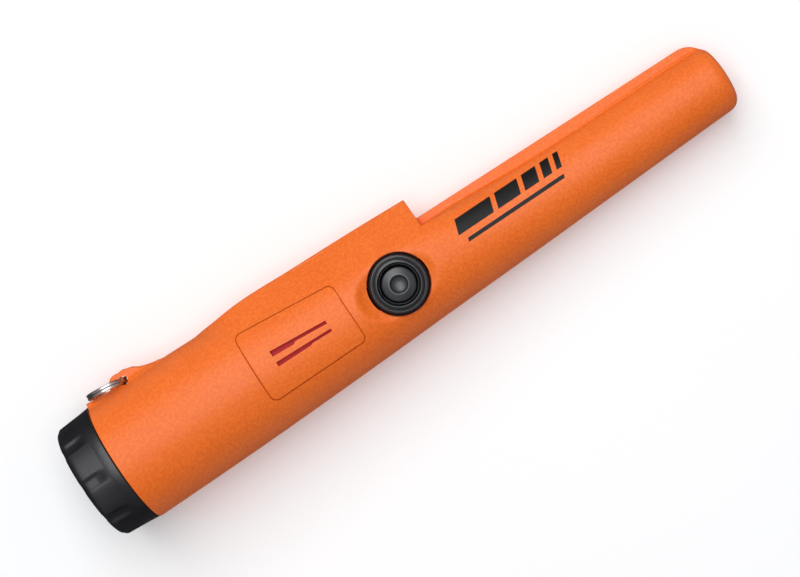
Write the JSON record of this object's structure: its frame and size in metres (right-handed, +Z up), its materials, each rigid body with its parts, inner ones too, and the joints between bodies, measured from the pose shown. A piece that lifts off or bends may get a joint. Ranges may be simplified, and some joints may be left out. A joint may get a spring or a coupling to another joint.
{
  "type": "pinpointer probe",
  "caption": "Sealed hand-held metal locating probe: tapered orange housing with a ridge, scraper fin, press button, speaker panel, screw battery cap and lanyard ring.",
  "frame": {"origin": "middle of the underside of the box around the probe as it lies on its back", "axes": "+X along the probe to its sensing tip, +Y towards its ridge, scraper fin and ring lug, +Z up, towards its button. The probe's centre line dips 2.7 degrees towards the tip, because its back tapers."},
  "size_m": [0.2264, 0.0429, 0.04],
  "materials": {
    "orange_shell": "fine speckled moulded texture",
    "orange_panel": "fine speckled moulded texture",
    "black_cap": "satin moulded black",
    "black_bezel": "satin to gloss moulded black",
    "button_rubber": "smooth matt rubber",
    "seal_rubber": "smooth",
    "foam_pad": "closed-cell foam",
    "ring_steel": "bright plated spring wire",
    "red_membrane": "taut woven membrane",
    "piezo_brass": "rolled disc",
    "switch_plastic": "moulded",
    "clear_lens": "polished clear",
    "led_resin": "clear resin",
    "board_green": "solder mask",
    "chassis_plastic": "moulded",
    "screw_steel": "plated",
    "chip_black": "moulded packages",
    "motor_can": "drawn can",
    "weight_metal": "sintered",
    "sleeve_rubber": "smooth",
    "battery_case": "lacquered jacket",
    "contact_nickel": "nickel plated",
    "board_blue": "solder mask",
    "lead_red": "insulated wire",
    "ferrite_grey": "ground ferrite",
    "bobbin_cream": "moulded",
    "winding_copper": "enamelled copper wire",
    "lead_gold": "enamelled twin lead"
  },
  "bodies": {
    "probe_body": {"housing": "orange_shell", "speaker_cover": "orange_panel", "speaker_membrane": "red_membrane", "speaker_gasket": "foam_pad", "piezo_speaker": "piezo_brass", "button_bezel": "black_bezel", "bezel_seal": "seal_rubber", "tact_switch": "switch_plastic", "led_lens": "clear_lens", "led": "led_resin", "led_board": "board_green", "chassis": "chassis_plastic", "chassis_screws": "screw_steel", "main_pcb": "board_green", "pcb_components": "chip_black", "vibration_motor": "motor_can", "motor_sleeve": "sleeve_rubber", "battery": "battery_case", "battery_terminals": "contact_nickel", "snap_board": "board_blue", "snap_contacts": "contact_nickel", "battery_leads": "lead_red", "ferrite_rod": "ferrite_grey", "coil_bobbin": "bobbin_cream", "search_coil": "winding_copper", "rod_cradle": "chassis_plastic", "tip_pad": "foam_pad", "coil_leads": "lead_gold"},
    "button": {"button_cap": "button_rubber", "switch_plunger": "switch_plastic"},
    "cap_seal": {"cap_oring": "seal_rubber"},
    "cap": {"battery_cap": "black_cap", "cap_foam": "foam_pad"},
    "lanyard_ring": {"split_ring": "ring_steel"},
    "motor_rotor": {"motor_weight": "weight_metal"}
  },
  "joints": [
    {"name": "button_press", "type": "slide", "parent": "probe_body", "child": "button", "axis": [-0.0471, 0, -0.9989], "range_m": [0, 0.0008], "stiffness_N_per_m": 3000},
    {"name": "cap_travel", "type": "slide", "parent": "probe_body", "child": "cap_seal", "axis": [-0.9989, 0, 0.0471], "range_m": [0, 0.00675]},
    {"name": "cap_turn", "type": "hinge", "parent": "cap_seal", "child": "cap", "pos_m": [-0.10562, -0.00195, 0.02073], "axis": [-0.9989, 0, 0.0471], "range_deg": [0, 810]},
    {"name": "ring_swing", "type": "hinge", "parent": "probe_body", "child": "lanyard_ring", "pos_m": [-0.08654, 0.01835, 0.01983], "axis": [-0.0471, 0, -0.9989], "range_deg": [0, 150]},
    {"name": "motor_spin", "type": "hinge", "parent": "probe_body", "child": "motor_rotor", "pos_m": [-0.02611, -0.00295, 0.00837], "axis": [0.9989, 0, -0.0471], "continuous": true}
  ],
  "couplings": [
    {"joint": "cap_turn", "follows": "cap_travel", "rad_per_m": 2094.4}
  ]
}
